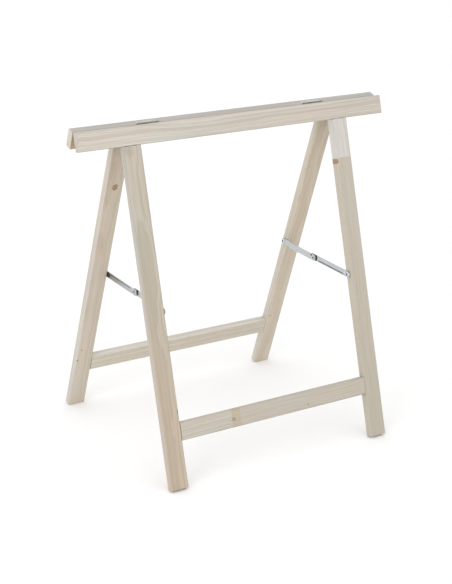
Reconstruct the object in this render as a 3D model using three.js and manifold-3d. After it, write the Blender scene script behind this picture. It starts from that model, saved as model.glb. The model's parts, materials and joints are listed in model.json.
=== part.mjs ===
// Folding sawhorse: two flat timber frames hinged along their top rails and
// held apart by two folding steel stays. Millimetres, +Z up, X along the rails,
// origin on the floor under the middle of the hinge line. The front frame
// leans to -Y. The object is one half plus the same half turned about Z.

import * as THREE from "three";
import { mergeVertices } from "three/addons/utils/BufferGeometryUtils.js";
import Module from "manifold-3d";

const wasm = await Module();
wasm.setup();

// Overall sizes
const RAIL_LENGTH = 750;
const FRAME_LENGTH = 750;
const LEAN = THREE.MathUtils.degToRad(17.75);
const GAP = 0.3;

// Boards
const BOARD_THICKNESS = 18;
const RAIL_HEIGHT = 40;
const LEG_WIDTH = 40;
const STRETCHER_HEIGHT = 38;
const RAIL_OVERHANG = 98;
const STRETCHER_ABOVE_FOOT = 98;
const EDGE_RADIUS = 2.5;
const FACE_OFFSET = 0.4;

// Dowels
const DOWEL_RADIUS = 4;
const RAIL_DOWEL_LENGTH = 40;
const RAIL_DOWEL_SPREAD = 10;
const STRETCHER_DOWEL_LENGTH = 32;
const STRETCHER_DOWEL_SPREAD = 9;
const DOWEL_CHAMFER = 1;

// Butt hinges
const HINGE_LENGTH = 50;
const HINGE_FROM_CENTRE = 205;
const LEAF_WIDTH = 14;
const LEAF_THICKNESS = 1.5;
const KNUCKLE_RADIUS = 2.6;
const KNUCKLE_COUNT = 5;
const PIN_RADIUS = 1.2;
const PIN_OVERLENGTH = 0.6;
const PIN_END_RADIUS = 0.7;
const HINGE_SCREW_RADIUS = 1.5;
const HINGE_SCREW_HEAD_RADIUS = 3;
const HINGE_SCREW_LENGTH = 20;
const HINGE_SCREW_SPREAD = 15;
const HINGE_SCREW_INSET = 9;
const HINGE_SCREW_HEAD_DEPTH = 1.2;
const HINGE_SCREW_HEAD_RIM = 0.2;
const HINGE_SCREW_POINT = 3;
const HINGE_SCREW_RECESS = { size: 3, slot: 0.7, depth: 0.9 };

// Folding stays
const STAY_BELOW_RAIL_TOP = 382;
const ELBOW_DROP = 0.5;
const ARM_WIDTH = 14;
const CHANNEL_THICKNESS = 1.2;
const FLAT_THICKNESS = 1.5;
const JOGGLE_FROM_PIN = 36;
const JOGGLE_LENGTH = 12;
const BEAD_HEIGHT = 2;
const BEAD_TOP_WIDTH = 5;
const BEAD_SLOPE_WIDTH = 2.5;
const BEAD_FROM_PIN = 14;
const BEAD_FROM_ELBOW = 15;
const TAIL_LENGTH = 11;
const TAIL_CORNER_RADIUS = 1.5;
const CATCH_HOLE_RADIUS = 1.8;
const CATCH_HOLE_ALONG = 8.4;
const CATCH_HOLE_ABOVE = 4.3;
const WASHER_THICKNESS = 1.2;
const WASHER_RADIUS = 6;
const RIVET_RADIUS = 2.5;
const RIVET_HEAD_RADIUS = 4;
const RIVET_HEAD_HEIGHT = 1;
const RIVET_CLINCH_HEIGHT = 0.9;
const RIVET_BORE_RADIUS = 1.3;
const RIVET_BORE_DEPTH = 1.9;
const STAY_SCREW_RADIUS = 2.25;
const STAY_SCREW_IN_WOOD = 25;
const STAY_SCREW_POINT = 4;
const STAY_SCREW_RECESS = { size: 4.6, slot: 1.2, depth: 1.5 };
const STAY_SCREW_HEAD = [[4.8, 0], [4.8, 0.7], [4.3, 1.5], [3, 2]];

const FINE = 24;
const COARSE = 16;
const CORNER_SEGMENTS = 4;
const PLATE_SEGMENTS = 10;

// Derived positions. The hinge axis is the local origin of a frame standing
// upright: its boards lie on the -Y side and hang down from RAIL_TOP.
const RAIL_TOP = LEAF_THICKNESS - KNUCKLE_RADIUS;
const RAIL_BOTTOM = RAIL_TOP - RAIL_HEIGHT;
const FOOT = RAIL_TOP - FRAME_LENGTH;
const MID_DEPTH = -(FACE_OFFSET + BOARD_THICKNESS / 2);
const LEG_CENTRE = RAIL_LENGTH / 2 - RAIL_OVERHANG - LEG_WIDTH / 2;
const LEG_INNER_FACE = LEG_CENTRE - LEG_WIDTH / 2;
const STRETCHER_CENTRE = FOOT + STRETCHER_ABOVE_FOOT + STRETCHER_HEIGHT / 2;
const AXIS_HEIGHT = -FOOT * Math.cos(LEAN) - FACE_OFFSET * Math.sin(LEAN);

// Stay layers, measured from the leg's inner side face towards mid-span
const CHANNEL_BACK = GAP + WASHER_THICKNESS + GAP;
const CHANNEL_FRONT = CHANNEL_BACK + CHANNEL_THICKNESS;
const BEAD_TOP = CHANNEL_FRONT + BEAD_HEIGHT;
const FLAT_BACK = BEAD_TOP + GAP;
const FLAT_FRONT = FLAT_BACK + FLAT_THICKNESS;
const FLAT_SEATED_FRONT = CHANNEL_BACK + FLAT_THICKNESS;

const PAINTS = {
  rail: { color: 0xcfc6b8, roughness: 0.72, metalness: 0 },
  leg: { color: 0xc9bca6, roughness: 0.74, metalness: 0 },
  stretcher: { color: 0xc8b9a0, roughness: 0.74, metalness: 0 },
  dowel: { color: 0xd9c29a, roughness: 0.8, metalness: 0 },
  hinge: { color: 0xb4b3ae, roughness: 0.42, metalness: 0.9 },
  stay: { color: 0xc4c9cc, roughness: 0.34, metalness: 0.92 },
  screw: { color: 0xb0b4b6, roughness: 0.3, metalness: 0.95 },
};

// ---------- solids and booleans ----------

function toSolid(geometry) {
  const bare = geometry.clone();
  bare.deleteAttribute("normal");
  bare.deleteAttribute("uv");
  const welded = mergeVertices(bare, 1e-4);
  const mesh = new wasm.Mesh({
    numProp: 3,
    vertProperties: new Float32Array(welded.attributes.position.array),
    triVerts: new Uint32Array(welded.index.array),
  });
  return new wasm.Manifold(mesh);
}

function toGeometry(solid) {
  const mesh = solid.getMesh();
  const geometry = new THREE.BufferGeometry();
  const positions = new THREE.BufferAttribute(new Float32Array(mesh.vertProperties), 3);
  geometry.setAttribute("position", positions);
  geometry.setIndex(new THREE.BufferAttribute(new Uint32Array(mesh.triVerts), 1));
  return geometry;
}

function cut(geometry, tools) {
  let solid = toSolid(geometry);
  for (const tool of tools) {
    solid = solid.subtract(toSolid(tool));
  }
  return toGeometry(solid);
}

function join(geometries) {
  let solid = toSolid(geometries[0]);
  for (const other of geometries.slice(1)) {
    solid = solid.add(toSolid(other));
  }
  return toGeometry(solid);
}

// ---------- basic shapes ----------

function roundedRectangle(width, height, radius) {
  const x = width / 2 - radius;
  const y = height / 2 - radius;
  const shape = new THREE.Shape();
  shape.absarc(x, y, radius, 0, Math.PI / 2);
  shape.absarc(-x, y, radius, Math.PI / 2, Math.PI);
  shape.absarc(-x, -y, radius, Math.PI, Math.PI * 1.5);
  shape.absarc(x, -y, radius, Math.PI * 1.5, Math.PI * 2);
  shape.closePath();
  return shape;
}

function circlePath(x, y, radius) {
  const path = new THREE.Path();
  path.absarc(x, y, radius, 0, Math.PI * 2, true);
  return path;
}

function extrude(shape, depth, curveSegments) {
  return new THREE.ExtrudeGeometry(shape, { depth, curveSegments, bevelEnabled: false });
}

// A board with rounded long edges, its length centred along X, width along Z
function lyingBoard(length, width) {
  const section = roundedRectangle(BOARD_THICKNESS, width, EDGE_RADIUS);
  return extrude(section, length, CORNER_SEGMENTS)
    .translate(0, 0, -length / 2)
    .rotateX(Math.PI / 2)
    .rotateZ(Math.PI / 2);
}

// A board with rounded long edges, its length centred along Z, width along X
function standingBoard(length, width) {
  const section = roundedRectangle(width, BOARD_THICKNESS, EDGE_RADIUS);
  return extrude(section, length, CORNER_SEGMENTS).translate(0, 0, -length / 2);
}

function rodAlongX(radius, length, segments) {
  return new THREE.CylinderGeometry(radius, radius, length, segments).rotateZ(Math.PI / 2);
}

function rodAlongZ(radius, length, segments) {
  return new THREE.CylinderGeometry(radius, radius, length, segments).rotateX(Math.PI / 2);
}

function turned(profile, segments) {
  const points = profile.map(([radius, height]) => new THREE.Vector2(radius, height));
  return new THREE.LatheGeometry(points, segments).rotateX(Math.PI / 2);
}

function ring(outer, bore, thickness) {
  const shape = new THREE.Shape();
  shape.absarc(0, 0, outer, 0, Math.PI * 2);
  shape.holes.push(circlePath(0, 0, bore));
  return extrude(shape, thickness, FINE / 2);
}

// ---------- dowels and screws ----------

function dowel(length) {
  const half = length / 2;
  const tip = DOWEL_RADIUS - DOWEL_CHAMFER;
  return turned([
    [0, -half],
    [tip, -half],
    [DOWEL_RADIUS, DOWEL_CHAMFER - half],
    [DOWEL_RADIUS, half - DOWEL_CHAMFER],
    [tip, half],
    [0, half],
  ], COARSE);
}

function dowelBore(length) {
  return rodAlongZ(DOWEL_RADIUS + GAP, length + 2 * GAP, COARSE);
}

function crossRecess({ size, slot, depth }, top) {
  return [
    new THREE.BoxGeometry(size, slot, depth * 2).translate(0, 0, top),
    new THREE.BoxGeometry(slot, size, depth * 2).translate(0, 0, top),
  ];
}

// Countersunk screw pointing down, the top of its head at z = 0
function countersunkScrew() {
  const body = turned([
    [0, -HINGE_SCREW_LENGTH],
    [HINGE_SCREW_RADIUS, HINGE_SCREW_POINT - HINGE_SCREW_LENGTH],
    [HINGE_SCREW_RADIUS, -HINGE_SCREW_HEAD_DEPTH],
    [HINGE_SCREW_HEAD_RADIUS, -HINGE_SCREW_HEAD_RIM],
    [HINGE_SCREW_HEAD_RADIUS, 0],
    [0, 0],
  ], COARSE);
  return cut(body, crossRecess(HINGE_SCREW_RECESS, 0));
}

// Pan-head screw pointing down, the underside of its head at z = 0
function panHeadScrew(shank) {
  const [, top] = STAY_SCREW_HEAD.at(-1);
  const body = turned([
    [0, -shank],
    [STAY_SCREW_RADIUS, STAY_SCREW_POINT - shank],
    [STAY_SCREW_RADIUS, 0],
    ...STAY_SCREW_HEAD,
    [0, top],
  ], FINE);
  return cut(body, crossRecess(STAY_SCREW_RECESS, top));
}

// ---------- boards, built in an upright frame ----------

function hingeMortises() {
  const depth = LEAF_THICKNESS + GAP;
  const width = LEAF_WIDTH + GAP;
  const tools = [];
  for (const side of [-1, 1]) {
    const pocket = new THREE.BoxGeometry(HINGE_LENGTH + 2 * GAP, width * 2, depth * 2);
    tools.push(pocket.translate(side * HINGE_FROM_CENTRE, 0, RAIL_TOP));
    for (const offset of [-HINGE_SCREW_SPREAD, HINGE_SCREW_SPREAD]) {
      const x = side * HINGE_FROM_CENTRE + offset;
      const bore = rodAlongZ(HINGE_SCREW_RADIUS + GAP, 2 * (HINGE_SCREW_LENGTH + GAP), COARSE);
      tools.push(bore.translate(x, -HINGE_SCREW_INSET, RAIL_TOP));
    }
  }
  return tools;
}

function railDowelSpots() {
  const spots = [];
  for (const side of [-1, 1]) {
    for (const offset of [-RAIL_DOWEL_SPREAD, RAIL_DOWEL_SPREAD]) {
      spots.push({ side, x: side * LEG_CENTRE + offset, y: MID_DEPTH, z: RAIL_BOTTOM });
    }
  }
  return spots;
}

function stretcherDowelSpots() {
  const spots = [];
  for (const side of [-1, 1]) {
    for (const offset of [-STRETCHER_DOWEL_SPREAD, STRETCHER_DOWEL_SPREAD]) {
      const z = STRETCHER_CENTRE + offset;
      spots.push({ side, x: side * LEG_INNER_FACE, y: MID_DEPTH, z });
    }
  }
  return spots;
}

function railDowelBores() {
  return railDowelSpots().map(({ x, y, z }) => dowelBore(RAIL_DOWEL_LENGTH).translate(x, y, z));
}

function stretcherDowelBores() {
  return stretcherDowelSpots().map(({ x, y, z }) =>
    dowelBore(STRETCHER_DOWEL_LENGTH).rotateY(Math.PI / 2).translate(x, y, z));
}

function topRail() {
  const board = lyingBoard(RAIL_LENGTH, RAIL_HEIGHT);
  board.translate(0, MID_DEPTH, RAIL_TOP - RAIL_HEIGHT / 2);
  return cut(board, [...hingeMortises(), ...railDowelBores()]);
}

function leg(side) {
  const top = RAIL_BOTTOM - GAP;
  const board = standingBoard(top - FOOT, LEG_WIDTH);
  board.translate(side * LEG_CENTRE, MID_DEPTH, (top + FOOT) / 2);
  const pilot = rodAlongX(STAY_SCREW_RADIUS + GAP, 2 * (STAY_SCREW_IN_WOOD + GAP), COARSE);
  pilot.translate(side * LEG_INNER_FACE, MID_DEPTH, RAIL_TOP - STAY_BELOW_RAIL_TOP);
  return cut(board, [...railDowelBores(), ...stretcherDowelBores(), pilot]);
}

function stretcher() {
  const board = lyingBoard(2 * (LEG_INNER_FACE - GAP), STRETCHER_HEIGHT);
  board.translate(0, MID_DEPTH, STRETCHER_CENTRE);
  return cut(board, stretcherDowelBores());
}

// ---------- butt hinge, built around its own axis along X ----------

// The leaf with outer knuckles takes the even knuckle slots
function hingeLeaf(outerKnuckles) {
  const pitch = HINGE_LENGTH / KNUCKLE_COUNT;
  const plate = new THREE.BoxGeometry(HINGE_LENGTH, LEAF_WIDTH, LEAF_THICKNESS);
  plate.translate(0, -LEAF_WIDTH / 2, RAIL_TOP - LEAF_THICKNESS / 2);
  const knuckles = [];
  const tools = [];
  for (let slot = 0; slot < KNUCKLE_COUNT; slot += 1) {
    const x = (slot + 0.5) * pitch - HINGE_LENGTH / 2;
    if ((slot % 2 === 0) === outerKnuckles) {
      knuckles.push(rodAlongX(KNUCKLE_RADIUS, pitch - GAP, FINE).translate(x, 0, 0));
    } else {
      tools.push(rodAlongX(KNUCKLE_RADIUS + GAP, pitch + GAP, FINE).translate(x, 0, 0));
    }
  }
  tools.push(rodAlongX(PIN_RADIUS + GAP, 2 * HINGE_LENGTH, FINE));
  const wide = HINGE_SCREW_HEAD_RADIUS + GAP;
  const narrow = HINGE_SCREW_RADIUS + GAP;
  const lower = GAP / 3;
  for (const x of [-HINGE_SCREW_SPREAD, HINGE_SCREW_SPREAD]) {
    const seat = turned([
      [0, -2 * LEAF_THICKNESS],
      [narrow, -2 * LEAF_THICKNESS],
      [narrow, -HINGE_SCREW_HEAD_DEPTH - lower],
      [wide, -HINGE_SCREW_HEAD_RIM - lower],
      [wide, LEAF_THICKNESS],
      [0, LEAF_THICKNESS],
    ], COARSE);
    tools.push(seat.translate(x, -HINGE_SCREW_INSET, RAIL_TOP));
  }
  return cut(join([plate, ...knuckles]), tools);
}

function hingePin() {
  const half = HINGE_LENGTH / 2 + PIN_OVERLENGTH;
  return turned([
    [0, -half],
    [PIN_END_RADIUS, -half],
    [PIN_RADIUS, PIN_OVERLENGTH - half],
    [PIN_RADIUS, half - PIN_OVERLENGTH],
    [PIN_END_RADIUS, half],
    [0, half],
  ], COARSE).rotateY(Math.PI / 2);
}

// ---------- folding stay ----------
// Arms are drawn in their own plane: x along the arm towards +Y, y up,
// and -z away from the leg.

function layer(geometry, front) {
  return geometry.translate(0, 0, -front);
}

function channelOutline(length) {
  const half = ARM_WIDTH / 2;
  const end = length + TAIL_LENGTH - TAIL_CORNER_RADIUS;
  const corner = half - TAIL_CORNER_RADIUS;
  const shape = new THREE.Shape();
  shape.absarc(0, 0, half, Math.PI / 2, Math.PI * 1.5);
  shape.absarc(end, -corner, TAIL_CORNER_RADIUS, Math.PI * 1.5, Math.PI * 2);
  shape.absarc(end, corner, TAIL_CORNER_RADIUS, 0, Math.PI / 2);
  shape.closePath();
  return shape;
}

function bead(length) {
  const radius = BEAD_TOP_WIDTH / 2;
  const start = BEAD_FROM_PIN;
  const end = length - BEAD_FROM_ELBOW;
  const shape = new THREE.Shape();
  shape.absarc(start, 0, radius, Math.PI / 2, Math.PI * 1.5);
  shape.absarc(end, 0, radius, -Math.PI / 2, Math.PI / 2);
  shape.closePath();
  return new THREE.ExtrudeGeometry(shape, {
    depth: CHANNEL_THICKNESS,
    curveSegments: PLATE_SEGMENTS,
    bevelEnabled: true,
    bevelSegments: 1,
    bevelThickness: BEAD_HEIGHT,
    bevelSize: BEAD_SLOPE_WIDTH,
  });
}

function channelArm(length) {
  const outline = channelOutline(length);
  outline.holes.push(circlePath(0, 0, STAY_SCREW_RADIUS + GAP));
  outline.holes.push(circlePath(length, 0, RIVET_RADIUS + GAP));
  const plate = layer(extrude(outline, CHANNEL_THICKNESS, PLATE_SEGMENTS), CHANNEL_FRONT);
  const raised = bead(length).translate(0, 0, -CHANNEL_FRONT);
  const room = new THREE.BoxGeometry(4 * length, 2 * ARM_WIDTH, CHANNEL_BACK * 2);
  const hollow = bead(length).translate(0, 0, -CHANNEL_BACK);
  return cut(join([plate, raised]), [hollow, room]);
}

function flatOutline(length) {
  const half = ARM_WIDTH / 2;
  const shape = new THREE.Shape();
  shape.absarc(0, 0, half, Math.PI / 2, Math.PI * 1.5);
  shape.absarc(length, 0, half, -Math.PI / 2, Math.PI / 2);
  shape.closePath();
  shape.holes.push(circlePath(length, 0, STAY_SCREW_RADIUS + GAP));
  shape.holes.push(circlePath(0, 0, RIVET_RADIUS + GAP));
  shape.holes.push(circlePath(CATCH_HOLE_ALONG, CATCH_HOLE_ABOVE, CATCH_HOLE_RADIUS));
  return shape;
}

// The strip seen from its edge: over the bead at the elbow, and joggled down
// to the leg before the screw
function joggledStrip(length) {
  const start = length - JOGGLE_FROM_PIN;
  const end = start + JOGGLE_LENGTH;
  const bend = Math.atan2(FLAT_FRONT - FLAT_SEATED_FRONT, JOGGLE_LENGTH);
  const outside = FLAT_THICKNESS * Math.tan(bend / 2);
  const profile = new THREE.Shape([
    new THREE.Vector2(-ARM_WIDTH, -FLAT_FRONT),
    new THREE.Vector2(start + outside, -FLAT_FRONT),
    new THREE.Vector2(end + outside, -FLAT_SEATED_FRONT),
    new THREE.Vector2(length + ARM_WIDTH, -FLAT_SEATED_FRONT),
    new THREE.Vector2(length + ARM_WIDTH, FLAT_THICKNESS - FLAT_SEATED_FRONT),
    new THREE.Vector2(end, FLAT_THICKNESS - FLAT_SEATED_FRONT),
    new THREE.Vector2(start, -FLAT_BACK),
    new THREE.Vector2(-ARM_WIDTH, -FLAT_BACK),
  ]);
  return extrude(profile, 2 * ARM_WIDTH, 1).rotateX(Math.PI / 2).translate(0, ARM_WIDTH, 0);
}

function flatArm(length) {
  const deep = 2 * FLAT_FRONT;
  const outline = extrude(flatOutline(length), deep, PLATE_SEGMENTS).translate(0, 0, -deep);
  return toGeometry(toSolid(joggledStrip(length)).intersect(toSolid(outline)));
}

// Closed end of the two-piece elbow rivet, carried by the channel arm
function rivetBody() {
  const clinch = CHANNEL_BACK - GAP;
  return turned([
    [0, -BEAD_TOP],
    [RIVET_RADIUS, -BEAD_TOP],
    [RIVET_RADIUS, -clinch],
    [RIVET_HEAD_RADIUS, -clinch],
    [RIVET_HEAD_RADIUS, RIVET_CLINCH_HEIGHT - clinch],
    [0, RIVET_CLINCH_HEIGHT - clinch],
  ], FINE);
}

// Hollow end of the two-piece elbow rivet, carried by the flat arm
function rivetCap() {
  const under = -(FLAT_FRONT + GAP);
  const face = under - RIVET_HEAD_HEIGHT;
  const rim = RIVET_HEAD_HEIGHT / 2;
  return turned([
    [0, face + RIVET_BORE_DEPTH],
    [RIVET_BORE_RADIUS, face + RIVET_BORE_DEPTH],
    [RIVET_BORE_RADIUS, face],
    [RIVET_HEAD_RADIUS - rim, face],
    [RIVET_HEAD_RADIUS, under - rim],
    [RIVET_HEAD_RADIUS, under],
    [RIVET_RADIUS, under],
    [RIVET_RADIUS, -FLAT_BACK],
    [0, -FLAT_BACK],
  ], FINE);
}

function washer(bore, back, front) {
  return layer(ring(WASHER_RADIUS, bore, front - back), front);
}

function stayScrew(headBack) {
  const screw = panHeadScrew(headBack + STAY_SCREW_IN_WOOD);
  return screw.rotateY(Math.PI).translate(0, 0, -headBack);
}

// Point of the leaning front frame seen in the Y-Z plane of the object
function leaningPoint(y, z) {
  const point = new THREE.Vector3(0, y, z);
  point.applyAxisAngle(new THREE.Vector3(1, 0, 0), -LEAN);
  return new THREE.Vector3(0, point.y, point.z + AXIS_HEIGHT);
}

const FRONT_PIN = leaningPoint(MID_DEPTH, RAIL_TOP - STAY_BELOW_RAIL_TOP);
const REAR_PIN = new THREE.Vector3(0, -FRONT_PIN.y, FRONT_PIN.z);
const ELBOW = new THREE.Vector3(0, 0, FRONT_PIN.z - ELBOW_DROP);
const ARM_LENGTH = FRONT_PIN.distanceTo(ELBOW);

// Lays a piece drawn in an arm's plane onto the right legs' inner side faces,
// its origin at one pivot and its x axis pointing to another
function alongStay(from, to) {
  const along = to.clone().sub(from).normalize();
  const towardLeg = new THREE.Vector3(1, 0, 0);
  const up = new THREE.Vector3().crossVectors(towardLeg, along);
  const matrix = new THREE.Matrix4().makeBasis(along, up, towardLeg);
  return matrix.setPosition(LEG_INNER_FACE, from.y, from.z);
}

// ---------- assembly ----------

const object = new THREE.Group();
object.name = "folding_sawhorse";

function addPiece(name, geometry, paint) {
  const shaded = geometry.index ? geometry.toNonIndexed() : geometry;
  shaded.computeVertexNormals();
  const mesh = new THREE.Mesh(shaded, new THREE.MeshStandardMaterial(PAINTS[paint]));
  mesh.name = name;
  object.add(mesh);
}

// The half made of the front frame, the right hinge and the right stay, and
// its copy turned half way round, where front is rear and left is right
const HALVES = [
  { turn: 0, front: "front", rear: "rear", left: "left", right: "right" },
  { turn: Math.PI, front: "rear", rear: "front", left: "right", right: "left" },
];

function addFrame(half) {
  const place = (geometry) => geometry
    .rotateX(-LEAN)
    .translate(0, 0, AXIS_HEIGHT)
    .rotateZ(half.turn);
  const sideName = (side) => (side < 0 ? half.left : half.right);
  addPiece(`${half.front}_top_rail`, place(topRail()), "rail");
  addPiece(`${half.front}_stretcher`, place(stretcher()), "stretcher");
  for (const side of [-1, 1]) {
    addPiece(`${half.front}_${sideName(side)}_leg`, place(leg(side)), "leg");
  }
  railDowelSpots().forEach(({ side, x, y, z }, index) => {
    const name = `${half.front}_${sideName(side)}_rail_dowel_${(index % 2) + 1}`;
    addPiece(name, place(dowel(RAIL_DOWEL_LENGTH).translate(x, y, z)), "dowel");
  });
  stretcherDowelSpots().forEach(({ side, x, y, z }, index) => {
    const name = `${half.front}_${sideName(side)}_stretcher_dowel_${(index % 2) + 1}`;
    const peg = dowel(STRETCHER_DOWEL_LENGTH).rotateY(Math.PI / 2);
    addPiece(name, place(peg.translate(x, y, z)), "dowel");
  });
}

function addHinge(half) {
  const place = (geometry, turn, lean) => geometry
    .rotateX(-lean)
    .rotateZ(turn)
    .translate(HINGE_FROM_CENTRE, 0, AXIS_HEIGHT)
    .rotateZ(half.turn);
  const leaves = [
    { frame: half.front, turn: 0, outerKnuckles: true },
    { frame: half.rear, turn: Math.PI, outerKnuckles: false },
  ];
  for (const { frame, turn, outerKnuckles } of leaves) {
    const prefix = `${half.right}_hinge_${frame}`;
    addPiece(`${prefix}_leaf`, place(hingeLeaf(outerKnuckles), turn, LEAN), "hinge");
    [-HINGE_SCREW_SPREAD, HINGE_SCREW_SPREAD].forEach((x, index) => {
      const screw = countersunkScrew().translate(x, -HINGE_SCREW_INSET, RAIL_TOP);
      addPiece(`${prefix}_screw_${index + 1}`, place(screw, turn, LEAN), "screw");
    });
  }
  addPiece(`${half.right}_hinge_pin`, place(hingePin(), 0, 0), "hinge");
}

function addStay(half) {
  const onFront = alongStay(FRONT_PIN, ELBOW);
  const onElbowFront = onFront.clone().setPosition(LEG_INNER_FACE, ELBOW.y, ELBOW.z);
  const onElbowRear = alongStay(ELBOW, REAR_PIN);
  const onRear = onElbowRear.clone().setPosition(LEG_INNER_FACE, REAR_PIN.y, REAR_PIN.z);
  const screwBore = STAY_SCREW_RADIUS + GAP;
  const rivetBore = RIVET_RADIUS + GAP;
  const pieces = [
    ["channel_arm", channelArm(ARM_LENGTH), onFront, "stay"],
    ["flat_arm", flatArm(ARM_LENGTH), onElbowRear, "stay"],
    ["elbow_rivet", rivetBody(), onElbowFront, "screw"],
    ["elbow_rivet_cap", rivetCap(), onElbowRear, "screw"],
    ["elbow_spacer", washer(rivetBore, CHANNEL_FRONT + GAP, BEAD_TOP), onElbowFront, "stay"],
    [`${half.front}_washer`, washer(screwBore, GAP, CHANNEL_BACK - GAP), onFront, "stay"],
    [`${half.rear}_washer`, washer(screwBore, GAP, CHANNEL_BACK - GAP), onRear, "stay"],
    [`${half.front}_screw`, stayScrew(CHANNEL_FRONT + GAP), onFront, "screw"],
    [`${half.rear}_screw`, stayScrew(FLAT_SEATED_FRONT + GAP), onRear, "screw"],
  ];
  for (const [name, geometry, matrix, paint] of pieces) {
    geometry.applyMatrix4(matrix).rotateZ(half.turn);
    addPiece(`${half.right}_stay_${name}`, geometry, paint);
  }
}

for (const half of HALVES) {
  addFrame(half);
  addHinge(half);
  addStay(half);
}

export default object;
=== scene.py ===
import json
import math

import bmesh
import bpy
from mathutils import Matrix, Vector, noise

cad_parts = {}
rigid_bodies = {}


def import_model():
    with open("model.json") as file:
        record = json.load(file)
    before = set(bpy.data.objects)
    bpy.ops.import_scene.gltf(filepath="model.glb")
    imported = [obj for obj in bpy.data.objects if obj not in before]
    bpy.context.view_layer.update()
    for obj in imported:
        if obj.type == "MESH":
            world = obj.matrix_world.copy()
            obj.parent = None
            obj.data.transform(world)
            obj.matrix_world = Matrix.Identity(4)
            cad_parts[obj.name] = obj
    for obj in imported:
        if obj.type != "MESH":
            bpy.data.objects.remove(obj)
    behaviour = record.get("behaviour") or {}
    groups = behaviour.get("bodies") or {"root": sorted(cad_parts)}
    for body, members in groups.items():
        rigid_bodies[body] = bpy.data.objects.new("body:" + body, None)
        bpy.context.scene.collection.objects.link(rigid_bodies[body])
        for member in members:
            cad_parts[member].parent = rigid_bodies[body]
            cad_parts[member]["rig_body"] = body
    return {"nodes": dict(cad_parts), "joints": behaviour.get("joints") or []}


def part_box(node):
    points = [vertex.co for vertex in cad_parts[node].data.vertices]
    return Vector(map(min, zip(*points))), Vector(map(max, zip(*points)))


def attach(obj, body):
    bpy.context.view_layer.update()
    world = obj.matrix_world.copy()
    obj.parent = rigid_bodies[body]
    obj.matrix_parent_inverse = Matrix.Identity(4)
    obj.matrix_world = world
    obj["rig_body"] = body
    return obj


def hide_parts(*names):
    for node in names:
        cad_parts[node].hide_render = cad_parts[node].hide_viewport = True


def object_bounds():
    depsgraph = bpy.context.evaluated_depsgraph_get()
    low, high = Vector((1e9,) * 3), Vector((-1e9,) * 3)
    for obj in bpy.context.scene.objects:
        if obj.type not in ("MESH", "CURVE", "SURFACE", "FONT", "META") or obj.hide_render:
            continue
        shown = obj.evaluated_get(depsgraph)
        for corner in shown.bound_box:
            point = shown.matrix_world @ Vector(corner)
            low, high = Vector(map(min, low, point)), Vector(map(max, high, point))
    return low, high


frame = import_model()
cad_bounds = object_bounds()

# Looks of the folding sawhorse. Every visible CAD node is replaced by a finer
# piece built in its own local frame, in metres; dowels keep their CAD shape.

MM = 0.001

# Boards
ARRIS_RADIUS = 2.5 * MM
ARRIS_SEGMENTS = 6
END_SOFTENING = 0.45 * MM
END_SEGMENTS = 2
SECTION_PITCH = 6 * MM
EDGE_WEAR = 0.22 * MM
WEAR_PER_METRE = 40
MORTISE_GAP = 0.3 * MM
MORTISE_REACH = 10 * MM

# Hardware
PLATE_EDGE = 0.18 * MM
LATHE_SEGMENTS = 48
BEVEL_SEGMENTS = 2
SHARP_ANGLE = math.radians(32)
BEVEL_ANGLE = math.radians(48)


def srgb(red, green, blue):
    def linear(value):
        value /= 255
        return value / 12.92 if value <= 0.04045 else ((value + 0.055) / 1.055) ** 2.4
    return (linear(red), linear(green), linear(blue), 1.0)


def tint(red, green, blue):
    return (red, green, blue, 1.0)


# ---- node trees ----

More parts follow.
